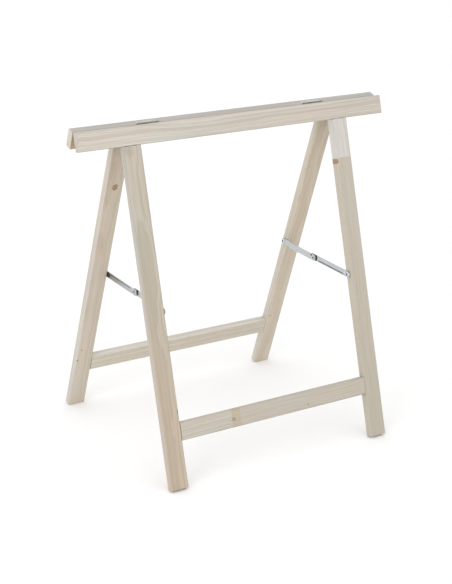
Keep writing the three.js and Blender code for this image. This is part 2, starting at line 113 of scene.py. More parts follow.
class Graph:
    """Short forms for building a material's node tree."""

    def __init__(self, name):
        self.material = bpy.data.materials.new(name)
        self.material.use_nodes = True
        self.tree = self.material.node_tree
        self.tree.nodes.clear()

    def node(self, kind, **settings):
        node = self.tree.nodes.new(kind)
        for key, value in settings.items():
            setattr(node, key, value)
        return node

    def feed(self, socket, value):
        if isinstance(value, bpy.types.NodeSocket):
            self.tree.links.new(value, socket)
        else:
            socket.default_value = value

    def calc(self, operation, *values, clamp=False):
        node = self.node("ShaderNodeMath", operation=operation, use_clamp=clamp)
        for socket, value in zip(node.inputs, values):
            self.feed(socket, value)
        return node.outputs[0]

    def product(self, first, *others):
        for other in others:
            first = self.calc("MULTIPLY", first, other)
        return first

    def vector(self, operation, *values):
        node = self.node("ShaderNodeVectorMath", operation=operation)
        for socket, value in zip(node.inputs, values):
            self.feed(socket, value)
        return node.outputs["Value" if operation == "LENGTH" else "Vector"]

    def scaled(self, vector, factor):
        node = self.node("ShaderNodeVectorMath", operation="SCALE")
        self.feed(node.inputs[0], vector)
        self.feed(node.inputs["Scale"], factor)
        return node.outputs["Vector"]

    def split(self, vector):
        node = self.node("ShaderNodeSeparateXYZ")
        self.feed(node.inputs[0], vector)
        return node.outputs[:3]

    def join(self, x, y, z):
        node = self.node("ShaderNodeCombineXYZ")
        for socket, value in zip(node.inputs, (x, y, z)):
            self.feed(socket, value)
        return node.outputs[0]

    def noise(self, vector, stretch, detail=2.0, roughness=0.5, output=0):
        """Noise of 1 unit grain over coordinates multiplied by stretch."""
        node = self.node("ShaderNodeTexNoise")
        self.feed(node.inputs["Vector"], self.vector("MULTIPLY", vector, stretch))
        self.feed(node.inputs["Scale"], 1.0)
        self.feed(node.inputs["Detail"], detail)
        self.feed(node.inputs["Roughness"], roughness)
        return node.outputs[output]

    def line_noise(self, value, detail=1.0):
        node = self.node("ShaderNodeTexNoise", noise_dimensions="1D")
        self.feed(node.inputs["W"], value)
        self.feed(node.inputs["Scale"], 1.0)
        self.feed(node.inputs["Detail"], detail)
        return node.outputs[0]

    def span(self, value, low, high, start, end, interpolation="LINEAR"):
        """Goes from start to end as value goes from low to high."""
        node = self.node("ShaderNodeMapRange", interpolation_type=interpolation)
        names = ("Value", "From Min", "From Max", "To Min", "To Max")
        for key, item in zip(names, (value, low, high, start, end)):
            self.feed(node.inputs[key], item)
        return node.outputs[0]

    def smooth(self, value, low, high, start=0.0, end=1.0):
        return self.span(value, low, high, start, end, "SMOOTHSTEP")

    def between(self, value, rise_from, rise_to, fall_from, fall_to):
        rise = self.smooth(value, rise_from, rise_to)
        return self.product(rise, self.smooth(value, fall_from, fall_to, 1.0, 0.0))

    def ramp(self, factor, stops):
        node = self.node("ShaderNodeValToRGB")
        node.color_ramp.interpolation = "EASE"
        marks = node.color_ramp.elements
        while len(marks) < len(stops):
            marks.new(0.5)
        for mark, (place, value) in zip(marks, stops):
            mark.position = place
            mark.color = (value, value, value, 1.0)
        self.feed(node.inputs[0], factor)
        return node.outputs[0]

    def mix(self, factor, first, second, blend="MIX"):
        node = self.node("ShaderNodeMix", data_type="RGBA", blend_type=blend)
        self.feed(node.inputs[0], factor)
        self.feed(node.inputs[6], first)
        self.feed(node.inputs[7], second)
        return node.outputs[2]

    def tinted(self, factor, color, shade):
        """The colour, multiplied by shade where factor is 1."""
        return self.mix(factor, color, self.mix(1.0, color, shade, "MULTIPLY"))

    def place(self):
        return self.scaled(self.node("ShaderNodeTexCoord").outputs["Object"], 1 / MM)

    def radius(self, x, y, centre_x=0.0, centre_y=0.0):
        across = self.calc("SUBTRACT", x, centre_x)
        up = self.calc("SUBTRACT", y, centre_y)
        return self.vector("LENGTH", self.join(across, up, 0.0))

    def underside(self, low, high):
        normal = self.split(self.node("ShaderNodeNewGeometry").outputs["Normal"])
        return self.smooth(self.calc("MULTIPLY", normal[2], -1.0), low, high)

    def finish(self, color, roughness, height, distance, strength, **constants):
        shader = self.node("ShaderNodeBsdfPrincipled")
        self.feed(shader.inputs["Base Color"], color)
        self.feed(shader.inputs["Roughness"], roughness)
        for key, value in constants.items():
            shader.inputs[key.replace("_", " ")].default_value = value
        bump = self.node("ShaderNodeBump")
        self.feed(bump.inputs["Height"], height)
        bump.inputs["Distance"].default_value = distance
        bump.inputs["Strength"].default_value = strength
        self.tree.links.new(bump.outputs[0], shader.inputs["Normal"])
        output = self.node("ShaderNodeOutputMaterial")
        self.tree.links.new(shader.outputs[0], output.inputs["Surface"])
        return self.material


# ---- wood ----
# Lengths inside the materials are millimetres.

KNOT_COLOR = srgb(150, 118, 82)
KNOT_RIM = srgb(112, 84, 54)
END_TINT = tint(0.93, 0.90, 0.86)
# painted shade that makes the rails' top faces darker than their front faces
TOP_PAINTED_SHADE = tint(0.84, 0.86, 0.90)
INNER_PAINTED_SHADE = tint(0.78, 0.68, 0.55)
ARRIS_PAINTED_SHADE = tint(0.70, 0.69, 0.69)
RUB_TINT = tint(0.86, 0.82, 0.78)
COOL_CLOUD = tint(0.985, 1.0, 0.985)
WARM_CLOUD = tint(1.02, 0.985, 0.965)

# Noise coordinates per millimetre along, across and through the board
DRIFT_STRETCH = (0.0045, 0.012, 0.012)
WAVE_STRETCH = (0.02, 0.3, 0.3)
FIBRE_STRETCH = (0.035, 1.7, 1.7)
STREAK_STRETCH = (0.006, 0.28, 0.28)
DASH_STRETCH = (0.06, 2.4, 2.4)
CLOUD_STRETCH = (0.008, 0.035, 0.035)
WOBBLE_STRETCH = (0.25, 0.25, 0.25)
RUB_STRETCH = (0.03, 0.2, 0.2)

JOINT_BLUR = 0.15
GLUE_LINE = (0.1, 0.5, 0.93, 1.0)

# Knots: how their radius is measured along x, y and z, and how they push
# the grain aside, over how many radii
KNOT_SHAPE = (0.8, 1.0, 0.22)
KNOT_PUSH = (0.0, -1.0, -0.3)
KNOT_PUSH_SHARE = 0.8
KNOT_PUSH_RADII = 3.4
KNOT_RAGGED = 0.25
KNOT_CORE = (0.82, 1.05)
KNOT_RIM_FROM = (0.55, 0.9)
KNOT_RING_PITCH = 7.5
KNOT_DEPTH = 0.8

# Growth rings: darkness over one year from early to late wood, and how
# uneven the years are
SEASON = ((0.0, 0.25), (0.14, 0.0), (0.45, 0.12), (0.8, 0.85), (0.93, 1.0), (1.0, 0.25))
WAVE_HEIGHT = 0.7
YEAR_PITCH = 0.45
YEAR_SPREAD = 1.4
FAINTEST_YEAR = 0.35

ARRIS_FROM = 2.2
ARRIS_FULL = 1.6
RUB_SHARE = 0.35
SAW_TURNS = 4.2
SAW_SLANT = 0.6
PLANER_TURNS = 3.1


def glued_blocks(g, place, x, color, spec, end_x):
    grain = place
    for at, shift, near, far in spec.get("blocks", ()):
        inside = g.smooth(x, at - JOINT_BLUR, at + JOINT_BLUR)
        block_color = g.mix(g.smooth(x, at, end_x), near, far)
        grain = g.vector("ADD", grain, g.scaled(g.join(*shift), inside))
        color = g.mix(inside, color, block_color)
        line = g.smooth(g.calc("ABSOLUTE", g.calc("SUBTRACT", x, at)), *GLUE_LINE)
        color = g.mix(1.0, color, line, "MULTIPLY")
    return grain, color


def bend_round_knots(g, place, grain, knots):
    """The grain pushed aside by knots, and masks of their wood, rims and rings."""
    knot_mask, rim_mask, ring_mask = 0.0, 0.0, 0.0
    for at_x, at_y, at_z, radius in knots:
        offset = g.vector("SUBTRACT", place, (at_x, at_y, at_z))
        ragged = KNOT_RAGGED * radius
        wobble = g.span(g.noise(place, WOBBLE_STRETCH, 1.0), 0, 1, -ragged, ragged)
        reach = g.calc("ADD", g.vector("LENGTH", g.vector("MULTIPLY", offset, KNOT_SHAPE)), wobble)
        pull = g.smooth(reach, 0.0, KNOT_PUSH_RADII * radius, KNOT_PUSH_SHARE, 0.0)
        grain = g.vector("ADD", grain, g.scaled(g.vector("MULTIPLY", offset, KNOT_PUSH), pull))
        core = g.smooth(reach, KNOT_CORE[0] * radius, KNOT_CORE[1] * radius, 1.0, 0.0)
        rim = g.product(g.smooth(reach, KNOT_RIM_FROM[0] * radius, KNOT_RIM_FROM[1] * radius), core)
        rings = g.calc("SINE", g.product(reach, KNOT_RING_PITCH))
        knot_mask = g.calc("MAXIMUM", core, knot_mask)
        rim_mask = g.calc("MAXIMUM", rim, rim_mask)
        ring_mask = g.calc("ADD", g.product(rings, core), ring_mask)
    return grain, (knot_mask, rim_mask, ring_mask)


def late_wood(g, grain, spec):
    drift = g.noise(grain, DRIFT_STRETCH, output="Color")
    wander = g.vector("SUBTRACT", drift, (0.5, 0.5, 0.5))
    bent = g.vector("ADD", grain, g.vector("MULTIPLY", wander, (0.0, spec["wander"], spec["wander"])))
    from_pith = g.vector("SUBTRACT", bent, (0.0, *spec["pith"]))
    distance = g.vector("LENGTH", g.vector("MULTIPLY", from_pith, (spec["slope"], 1.0, 1.0)))
    wave = g.span(g.noise(grain, WAVE_STRETCH), 0, 1, -WAVE_HEIGHT, WAVE_HEIGHT)
    phase = g.calc("DIVIDE", g.calc("ADD", distance, wave), spec["ring"])
    uneven = g.span(g.line_noise(g.product(phase, YEAR_PITCH)), 0, 1, -YEAR_SPREAD, YEAR_SPREAD)
    phase = g.calc("ADD", phase, uneven)
    weight = g.span(g.line_noise(g.calc("FLOOR", phase), 0.0), 0.25, 0.75, FAINTEST_YEAR, 1.0)
    return g.product(g.ramp(g.calc("FRACT", phase), SEASON), weight)


def wood_color(g, grain, color, late, fibre, dash, spec):
    streak = g.noise(grain, STREAK_STRETCH)
    cloud = g.noise(grain, CLOUD_STRETCH)
    color = g.mix(g.product(late, spec["contrast"]), color, spec["late"])
    warm = g.mix(g.smooth(cloud, 0.3, 0.7), COOL_CLOUD, WARM_CLOUD)
    color = g.mix(1.0, color, warm, "MULTIPLY")
    fibre_tone = g.span(fibre, 0.25, 0.75, 0.95, 1.05)
    streak_tone = g.span(streak, 0.25, 0.75, 0.93, 1.07)
    dash_tone = g.span(dash, 0, 1, 1.0, 0.93)
    return g.mix(1.0, color, g.product(fibre_tone, streak_tone, dash_tone), "MULTIPLY")


def paint_knots(g, color, masks, depth):
    knot_mask, rim_mask, ring_mask = masks
    core = g.mix(g.span(ring_mask, -1, 1, 0.0, 0.55), KNOT_COLOR, KNOT_RIM)
    core = g.mix(g.product(rim_mask, 0.75), core, KNOT_RIM)
    return g.mix(g.product(knot_mask, depth), color, core)


def edge_tones(g, place, color, half, end, spec):
    x, y, z = g.split(place)
    # end grain tint; the rails' own end tints also paint light and shade on their end faces
    color = g.tinted(end, color, spec.get("end", END_TINT))
    # narrow faces tinted lighter or darker by how they meet the light: painted light and painted shade
    for side, shade in spec.get("edges", ()):
        edge = g.smooth(g.product(y, side), half.y - 1.6, half.y - 0.2)
        color = g.tinted(edge, color, shade)
    # painted shade on the rails' inner faces, which face each other
    if spec.get("shaded_back"):
        back = g.smooth(z, -half.z + 0.1, -half.z + 1.2, 1.0, 0.0)
        color = g.tinted(back, color, INNER_PAINTED_SHADE)
    near_y = g.calc("SUBTRACT", g.calc("ABSOLUTE", y), half.y - ARRIS_FROM)
    near_z = g.calc("SUBTRACT", g.calc("ABSOLUTE", z), half.z - ARRIS_FROM)
    arris = g.smooth(g.calc("MINIMUM", near_y, near_z), 0.0, ARRIS_FULL)
    rub = g.product(arris, g.smooth(g.noise(place, RUB_STRETCH, 3.0), 0.35, 0.75), RUB_SHARE)
    color = g.tinted(rub, color, RUB_TINT)
    # painted shade along the arrises that turn away from the light
    for side_y, side_z in spec["handled"]:
        near = g.calc("MINIMUM", g.product(y, side_y), g.product(z, side_z))
        color = g.tinted(g.product(arris, g.smooth(near, 0.0, 2.0)), color, ARRIS_PAINTED_SHADE)
    return color


def pine(name, spec, size):
    """Planed softwood board. Its coordinates are millimetres from the board's
    middle: x along the grain, y across the wide face, z towards the outer face."""
    g = Graph(name)
    place = g.place()
    x, y, z = g.split(place)
    half = size / 2 / MM
    along_board = g.smooth(x, -size.x / 3 / MM, size.x / 2 / MM)
    color = g.mix(along_board, spec["tint"], spec.get("far_tint", spec["tint"]))
    grain, color = glued_blocks(g, place, x, color, spec, size.x / 2 / MM)
    knots = spec.get("knots", ())
    grain, masks = bend_round_knots(g, place, grain, knots)
    late = late_wood(g, grain, spec)
    fibre = g.noise(grain, FIBRE_STRETCH, 3.0, 0.6)
    dash = g.smooth(g.noise(grain, DASH_STRETCH, 1.0), 0.66, 0.74)
    color = wood_color(g, grain, color, late, fibre, dash, spec)
    if knots:
        color = paint_knots(g, color, masks, spec.get("knot_depth", KNOT_DEPTH))
    end = g.smooth(g.calc("ABSOLUTE", x), half.x - 0.5, half.x - 0.1)
    color = edge_tones(g, place, color, half, end, spec)
    # end grain is rougher, and saw and planer leave faint waves
    roughness = g.calc("ADD", g.span(fibre, 0.25, 0.75, 0.56, 0.72), g.product(late, -0.07))
    roughness = g.calc("ADD", roughness, g.product(end, 0.18), clamp=True)
    slanted = g.calc("ADD", y, g.product(z, SAW_SLANT))
    saw = g.calc("SINE", g.product(slanted, SAW_TURNS))
    planer = g.calc("SINE", g.product(x, PLANER_TURNS))
    height = g.calc("ADD", g.product(late, 0.5), g.product(fibre, 0.8))
    height = g.calc("ADD", height, g.product(planer, 0.04))
    height = g.calc("ADD", height, g.product(saw, end, 0.5))
    height = g.calc("SUBTRACT", height, g.product(dash, 0.4))
    return g.finish(color, roughness, height, 0.06 * MM, 0.6, Specular_IOR_Level=0.35)


# ---- steel ----

YELLOWED = tint(1.0, 0.985, 0.94)
UNDERSIDE_PAINTED_SHADE = tint(0.45, 0.47, 0.48)
BEAD_PAINTED_SHADE = (0.12, 0.135, 0.14, 1.0)
DIRT_AND_SHADE_COLOR = (0.02, 0.021, 0.022, 1.0)
DARK_BARREL_TONE = srgb(112, 106, 96)
PALE_BARREL_TONE = srgb(146, 141, 131)
SPANGLE_STRETCH = (0.55, 0.55, 0.55)
SMEAR_STRETCH = (0.12, 0.2, 0.2)
SCRATCH_STRETCH = (0.25, 5.0, 5.0)
PIT_STRETCH = (2.2, 2.2, 2.2)
SHADE_FADE = 0.3
DEEP = 1000.0


def bead_painted_shade(g, x, y, bead):
    # painted shade on the bead's shoulders where they face down
    start, end, inner, outer = bead
    strip = g.between(g.calc("ABSOLUTE", y), inner - 0.8, inner, outer - 0.2, outer + 0.4)
    reach = g.between(x, start, start + 4, end - 4, end)
    return g.product(strip, reach, g.underside(0.04, 0.16), 0.9)


def ring_painted_shadow(g, x, y, z, ring):
    # painted shadow of the flat arm's round end, in a band round the elbow
    inner, outer, depth = ring
    band = g.between(g.radius(x, y), inner - 0.8, inner, outer - 0.5, outer + 0.3)
    return g.product(band, g.smooth(z, depth, depth + SHADE_FADE, 1.0, 0.0), 0.95)


def disc_painted_shade(g, x, y, z, disc):
    # painted shade inside a hole or recess, between two depths
    disc_x, disc_y, reach, shallow, deepest = disc
    inside = g.smooth(g.radius(x, y, disc_x, disc_y), reach - 0.1, reach + 0.1, 1.0, 0.0)
    deep = g.between(z, shallow, shallow + SHADE_FADE, deepest, deepest + SHADE_FADE)
    return g.product(inside, deep, 0.97)


def leg_side_painted_shade(g, x, y, patch):
    # painted shade on the side that faces the leg, near the pin
    patch_x, reach = patch
    towards_leg = g.split(g.node("ShaderNodeTexCoord").outputs["Normal"])[2]
    near = g.smooth(g.radius(x, y, patch_x), reach - 5, reach, 1.0, 0.0)
    return g.product(near, g.smooth(towards_leg, 0.05, 0.3), 0.85)


def zinc(name, base, roughness, ring=None, discs=(), barrel=None, bead=None, leg_shade=None):
    """Bright zinc-plated steel, with faint dirt, and painted shade on its undersides, in its recesses and
    between parts, in millimetres.

    ring    inner radius, outer radius and depth, round z and away from the leg, of a painted shadow
    discs   x, y, radius, and lowest and highest z, of painted shade in holes and recesses
    barrel  radius of a hinge barrel round x, coloured darker
    bead    low x, high x, inner and outer y, of a bead's shoulders, painted with shade where they face down
    leg_shade  x and radius of painted shade on the side towards the leg, round its pin"""
    g = Graph(name)
    place = g.place()
    x, y, z = g.split(place)
    cells = g.node("ShaderNodeTexVoronoi", feature="SMOOTH_F1")
    g.feed(cells.inputs["Vector"], g.vector("MULTIPLY", place, SPANGLE_STRETCH))
    g.feed(cells.inputs["Scale"], 1.0)
    spangle = g.split(cells.outputs["Color"])[0]
    cloud = g.noise(place, SMEAR_STRETCH, 3.0, 0.6)
    scratch = g.noise(place, SCRATCH_STRETCH, roughness=0.6)
    pits = g.noise(place, PIT_STRETCH)
    tone = g.product(g.span(spangle, 0, 1, 0.95, 1.05), g.span(cloud, 0.3, 0.7, 0.92, 1.06))
    color = g.mix(1.0, base, tone, "MULTIPLY")
    color = g.tinted(g.smooth(cloud, 0.45, 0.75, 0.0, 0.35), color, YELLOWED)
    # painted shade on surfaces that face down
    color = g.tinted(g.underside(0.35, 0.75), color, UNDERSIDE_PAINTED_SHADE)
    # faint dirt at random, to which painted shade in recesses and between parts is added below
    dirt_and_shade = g.product(g.smooth(cloud, 0.5, 0.8), 0.2)
    if bead:
        # painted shade on the down-facing shoulders of the bead
        color = g.mix(bead_painted_shade(g, x, y, bead), color, BEAD_PAINTED_SHADE)
    if ring:
        dirt_and_shade = g.calc("MAXIMUM", dirt_and_shade, ring_painted_shadow(g, x, y, z, ring))
    for disc in discs:
        dirt_and_shade = g.calc("MAXIMUM", dirt_and_shade, disc_painted_shade(g, x, y, z, disc))
    if leg_shade:
        dirt_and_shade = g.calc("MAXIMUM", dirt_and_shade, leg_side_painted_shade(g, x, y, leg_shade))
    if barrel:
        # the barrel is coloured darker and mottled
        barrel_mask = g.smooth(g.radius(y, z), barrel + 0.3, barrel + 0.9, 1.0, 0.0)
        color = g.mix(barrel_mask, color, g.mix(g.span(cloud, 0.3, 0.7, 0.0, 1.0), DARK_BARREL_TONE, PALE_BARREL_TONE))
    # faint dirt and painted shade, in one dark colour
    color = g.mix(dirt_and_shade, color, DIRT_AND_SHADE_COLOR)
    rough = g.span(scratch, 0.3, 0.7, roughness - 0.05, roughness + 0.08)
    rough = g.calc("ADD", rough, g.span(spangle, 0, 1, -0.03, 0.04))
    rough = g.calc("ADD", rough, g.product(dirt_and_shade, 0.3), clamp=True)
    height = g.calc("ADD", g.product(scratch, 0.5), g.product(pits, 0.5))
    return g.finish(color, rough, height, 0.03 * MM, 0.35, Metallic=1.0)


# ---- mesh helpers ----

def local_box(node, place):
    """Lowest and highest corners of a CAD node in the frame given by place."""
    inverse = place.inverted()
    points = [inverse @ vertex.co for vertex in frame["nodes"][node].data.vertices]
    low = Vector(min(point[i] for point in points) for i in range(3))
    high = Vector(max(point[i] for point in points) for i in range(3))
    return low, high


def link_mesh(bm, name, place):
    mesh = bpy.data.meshes.new(name)
    bm.to_mesh(mesh)
    bm.free()
    obj = bpy.data.objects.new(name, mesh)
    bpy.context.scene.collection.objects.link(obj)
    obj.matrix_world = place
    return obj


def to_object(bm, name, place):
    """Object of a closed solid, with its faces turned outwards."""
    bmesh.ops.recalc_face_normals(bm, faces=bm.faces)
    return link_mesh(bm, name, place)


def bake_modifiers(obj):
    bpy.context.view_layer.update()
    evaluated = obj.evaluated_get(bpy.context.evaluated_depsgraph_get())
    mesh = bpy.data.meshes.new_from_object(evaluated)
    obj.modifiers.clear()
    old, obj.data = obj.data, mesh
    mesh.name = old.name
    bpy.data.meshes.remove(old)


def carve(obj, cutters):
    """Cuts the cutters, drawn in the object's own frame, out of the object."""
    for bm in cutters:
        cutter = to_object(bm, "cutter", obj.matrix_world)
        cut = obj.modifiers.new("cut", "BOOLEAN")
        cut.object = cutter
        cut.solver = "EXACT"
        bake_modifiers(obj)
        bpy.data.objects.remove(cutter)


def soften(obj, width):
    bevel = obj.modifiers.new("soften", "BEVEL")
    bevel.width = width
    bevel.segments = BEVEL_SEGMENTS
    bevel.limit_method = "ANGLE"
    bevel.angle_limit = BEVEL_ANGLE
    bake_modifiers(obj)


def settle(obj, name, body, node, material):
    """Shades the piece, gives it its material and hangs it on its CAD body."""
    obj.name = name
    obj.data.name = name
    for polygon in obj.data.polygons:
        polygon.use_smooth = True
    obj.data.set_sharp_from_angle(angle=SHARP_ANGLE)
    weighted = obj.modifiers.new("normals", "WEIGHTED_NORMAL")
    weighted.keep_sharp = True
    bake_modifiers(obj)
    obj.data.materials.clear()
    obj.data.materials.append(material)
    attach(obj, body)
    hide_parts(node)


def box_mesh(low, high):
    bm = bmesh.new()
    bmesh.ops.create_cube(bm, size=1.0)
    centre, size = (low + high) / 2, high - low
    for vertex in bm.verts:
        vertex.co = Vector(centre[i] + vertex.co[i] * size[i] for i in range(3))
    return bm


def turned_loop(bm, radius, height, segments):
    turns = (2 * math.pi * i / segments for i in range(segments))
    return [bm.verts.new((radius * math.cos(t), radius * math.sin(t), height)) for t in turns]


def lathe_mesh(profile, segments=LATHE_SEGMENTS):
    """Turned closed solid round z through (radius, height) points."""
    bm = bmesh.new()
    rings = []
    for radius, height in profile:
        on_axis = radius == 0
        rings.append([bm.verts.new((0, 0, height))] if on_axis else turned_loop(bm, radius, height, segments))
    for lower, upper in zip(rings, rings[1:]):
        for i in range(segments):
            j = (i + 1) % segments
            corners = [lower[i % len(lower)], lower[j % len(lower)],
                       upper[j % len(upper)], upper[i % len(upper)]]
            unique = list(dict.fromkeys(corners))
            if len(unique) > 2:
                bm.faces.new(unique)
    return bm


def bridge(bm, lower, upper):
    """Faces between two closed loops of as many points."""
    for i in range(len(lower)):
        j = (i + 1) % len(lower)
        bm.faces.new([lower[i], lower[j], upper[j], upper[i]])


def ring_mesh(profile):
    """Turned closed ring round z through a closed loop of (radius, height)."""
    bm = bmesh.new()
    loops = [turned_loop(bm, radius, height, LATHE_SEGMENTS) for radius, height in profile]
    for lower, upper in zip(loops, loops[1:] + loops[:1]):
        bridge(bm, lower, upper)
    return bm


def arc(centre, radius, start, end, steps):
    """Points on an arc, angles in degrees, both ends included."""
    angles = (math.radians(start + (end - start) * i / steps) for i in range(steps + 1))
    return [(centre[0] + radius * math.cos(a), centre[1] + radius * math.sin(a)) for a in angles]


def slice_across(bm, at):
    everything = bm.verts[:] + bm.edges[:] + bm.faces[:]
    bmesh.ops.bisect_plane(bm, geom=everything, plane_co=(at, 0, 0), plane_no=(1, 0, 0))


# ---- boards ----

fold = next(joint for joint in frame["joints"] if joint["name"] == "fold")
LEAN = math.radians(abs(fold["range_deg"][0]) / 2)
HINGE_LINE = Matrix.Translation(Vector(fold["pos_m"]))
FRAMES = {
    "front": HINGE_LINE @ Matrix.Rotation(-LEAN, 4, "X"),
    "rear": HINGE_LINE @ Matrix.Rotation(math.pi, 4, "Z") @ Matrix.Rotation(-LEAN, 4, "X"),
}
LYING = Matrix(((1, 0, 0, 0), (0, 0, -1, 0), (0, 1, 0, 0), (0, 0, 0, 1)))
STANDING = Matrix(((0, 1, 0, 0), (0, 0, -1, 0), (-1, 0, 0, 0), (0, 0, 0, 1)))


def round_edges(bm, edges, radius, segments):
    bmesh.ops.bevel(bm, geom=edges, offset=radius, segments=segments, profile=0.5, affect="EDGES")


def board_mesh(size, seed):
    """Planed batten: rounded arrises, softened ends, slight wear along them."""
    bm = box_mesh(-size / 2, size / 2)
    long_edges = [e for e in bm.edges if abs(e.verts[0].co.x - e.verts[1].co.x) > size.x / 2]
    round_edges(bm, long_edges, ARRIS_RADIUS, ARRIS_SEGMENTS)
    ends = [e for e in bm.edges if abs(e.verts[0].co.x - e.verts[1].co.x) < MM]
    round_edges(bm, ends, END_SOFTENING, END_SEGMENTS)
    count = int(size.x / SECTION_PITCH)
    for i in range(1, count):
        slice_across(bm, -size.x / 2 + size.x * i / count)
    inner_y, inner_z = size.y / 2 - 2 * ARRIS_RADIUS, size.z / 2 - 2 * ARRIS_RADIUS
    for vertex in bm.verts:
        co = vertex.co
        corner = Vector((0, math.copysign(max(abs(co.y) - inner_y, 0), co.y),
                         math.copysign(max(abs(co.z) - inner_z, 0), co.z)))
        if abs(corner.y) < ARRIS_RADIUS or abs(corner.z) < ARRIS_RADIUS:
            continue
        spot = Vector((co.x * WEAR_PER_METRE + seed, math.copysign(3, co.y), math.copysign(7, co.z)))
        wear = max(noise.noise(spot) * 0.6 + noise.noise(spot * 4.3) * 0.5, 0)
        vertex.co = co - corner.normalized() * wear * EDGE_WEAR
    return bm


def add_board(node, seed, spec):
    side = node.split("_")[0]
    kind = node.split("_")[-1]
    place = FRAMES[side] @ (STANDING if kind == "leg" else LYING)
    low, high = local_box(node, place)
    place = place @ Matrix.Translation((low + high) / 2)
    size = high - low
    obj = to_object(board_mesh(size, seed), node + "_board", place)
    if kind == "rail":
        cutters = []
        for hand in ("left", "right"):
            leaf_low, leaf_high = local_box(f"{hand}_hinge_{side}_leaf", place)
            gap = Vector((MORTISE_GAP,) * 3)
            leaf_low, leaf_high = leaf_low - gap, leaf_high + gap
            leaf_low.z = -size.z / 2 - MORTISE_REACH
            leaf_high.y = size.y / 2 + MORTISE_REACH
            cutters.append(box_mesh(leaf_low, leaf_high))
        carve(obj, cutters)
    settle(obj, node + "_board", side + "_frame", node, pine(node + "_pine", spec, size))


# Arrises darkened with painted shade, as pairs of (side across the face, side through the thickness)
LOW_ARRISES = ((-1, 1), (-1, -1))
HIGH_ARRISES = ((1, 1), (1, -1))
OUTER_ARRISES = ((1, 1), (-1, 1))

# Each board: the seed of its wear, and the look of its wood
#   tint, far_tint, late  colours of the near end, of the far end and of late wood
#   ring, pith  width of a year and place of the pith (y, z), which strays by slope
#       and wander
#   edges   (side across the face, tint) of narrow faces: painted light where the tint lightens them, painted shade where it darkens them
#   blocks  (x where it starts, shift of its grain, near colour, far colour)
#   knots   (x, y, z, radius)
# The rails' own end tints paint light and shade on their end faces as well as the end grain's tone.
BOARDS = {
    "front_top_rail": (1.3, dict(
        tint=srgb(198, 193, 185), far_tint=srgb(195, 189, 180), late=srgb(160, 146, 128), contrast=0.62,
        ring=3.6, pith=(46.0, -38.0), slope=0.012, wander=16.0,
        handled=LOW_ARRISES, end=tint(0.88, 0.87, 0.86), shaded_back=True, edges=((1, TOP_PAINTED_SHADE),),
        knots=((-99.0, 20.0, -2.0, 2.2),), knot_depth=0.7)),
    "front_left_leg": (2.1, dict(
        tint=srgb(183, 176, 164), far_tint=srgb(185, 171, 154), late=srgb(150, 137, 116), contrast=0.52,
        ring=3.9, pith=(-8.0, -62.0), slope=0.015, wander=14.0,
        handled=HIGH_ARRISES, edges=((-1, tint(0.96, 1.0, 1.08)),),
        knots=((195.0, 19.0, 5.0, 3.0),))),
    "front_right_leg": (3.7, dict(
        tint=srgb(197, 195, 191), late=srgb(166, 156, 140), contrast=0.5,
        ring=3.2, pith=(30.0, -70.0), slope=0.01, wander=12.0,
        handled=HIGH_ARRISES,
        blocks=((-270.0, (300.0, 14.0, 9.0), srgb(184, 177, 165), srgb(178, 171, 157)),),
        knots=((-263.0, -20.0, 2.0, 4.6), (42.0, 14.0, 9.0, 0.9)))),
    "front_stretcher": (4.9, dict(
        tint=srgb(188, 182, 172), late=srgb(160, 150, 130), contrast=0.62,
        ring=3.8, pith=(-50.0, -55.0), slope=0.008, wander=13.0,
        handled=LOW_ARRISES, edges=((1, tint(0.94, 0.95, 0.96)),),
        blocks=((-112.4, (210.0, 30.0, -18.0), srgb(183, 170, 151), srgb(182, 168, 149)),
                (-92.1, (-90.0, -22.0, 31.0), srgb(185, 178, 168), srgb(183, 176, 165))),
        knots=((-109.0, -1.0, 9.0, 4.4), (80.5, -9.0, 9.0, 2.4), (234.0, -18.0, 9.0, 1.6)),
        knot_depth=0.5)),
    "rear_top_rail": (5.2, dict(
        tint=srgb(194, 188, 179), late=srgb(162, 150, 132), contrast=0.4,
        ring=3.4, pith=(-52.0, -44.0), slope=0.012, wander=15.0,
        handled=OUTER_ARRISES, end=tint(1.0, 1.01, 1.03), shaded_back=True, edges=((1, TOP_PAINTED_SHADE),))),
    "rear_left_leg": (6.4, dict(
        tint=srgb(190, 179, 165), far_tint=srgb(193, 184, 172), late=srgb(162, 143, 114), contrast=0.45,
        ring=3.7, pith=(12.0, 66.0), slope=0.012, wander=13.0,
        handled=LOW_ARRISES, edges=((1, tint(1.0, 1.07, 1.16)),),
        knots=((-247.0, -1.0, -9.0, 6.6), (220.0, 17.5, -9.0, 2.2), (191.0, 11.0, -9.0, 1.6)))),
    "rear_right_leg": (7.8, dict(
        tint=srgb(193, 182, 166), far_tint=srgb(200, 190, 177), late=srgb(160, 143, 116), contrast=0.42,
        ring=4.1, pith=(-15.0, 60.0), slope=0.012, wander=13.0,
        handled=LOW_ARRISES, edges=((1, tint(1.0, 1.05, 1.11)),),
        knots=((207.0, 12.0, -9.0, 2.0),))),
    "rear_stretcher": (8.6, dict(
        tint=srgb(197, 190, 178), late=srgb(162, 148, 124), contrast=0.65,
        ring=3.6, pith=(44.0, 60.0), slope=0.008, wander=13.0,
        handled=LOW_ARRISES, edges=((1, tint(1.12, 1.18, 1.27)),))),
}
for name, (seed, spec) in BOARDS.items():
    add_board(name, seed, spec)


def beech():
    """Wood of the dowels, which stay as packed, hidden in the boards."""
    g = Graph("dowel_beech")
    place = g.place()
    fleck = g.noise(place, (0.9, 0.9, 0.9), 3.0, 0.6)
    band = g.noise(place, (0.2, 0.2, 0.2))
    color = g.mix(g.span(fleck, 0.3, 0.7, 0, 1), srgb(205, 176, 136), srgb(188, 156, 114))
    color = g.mix(g.smooth(band, 0.4, 0.7, 0.0, 0.4), color, srgb(214, 190, 154))
    return g.finish(color, g.span(fleck, 0.3, 0.7, 0.6, 0.75), fleck, 0.05 * MM, 0.5)


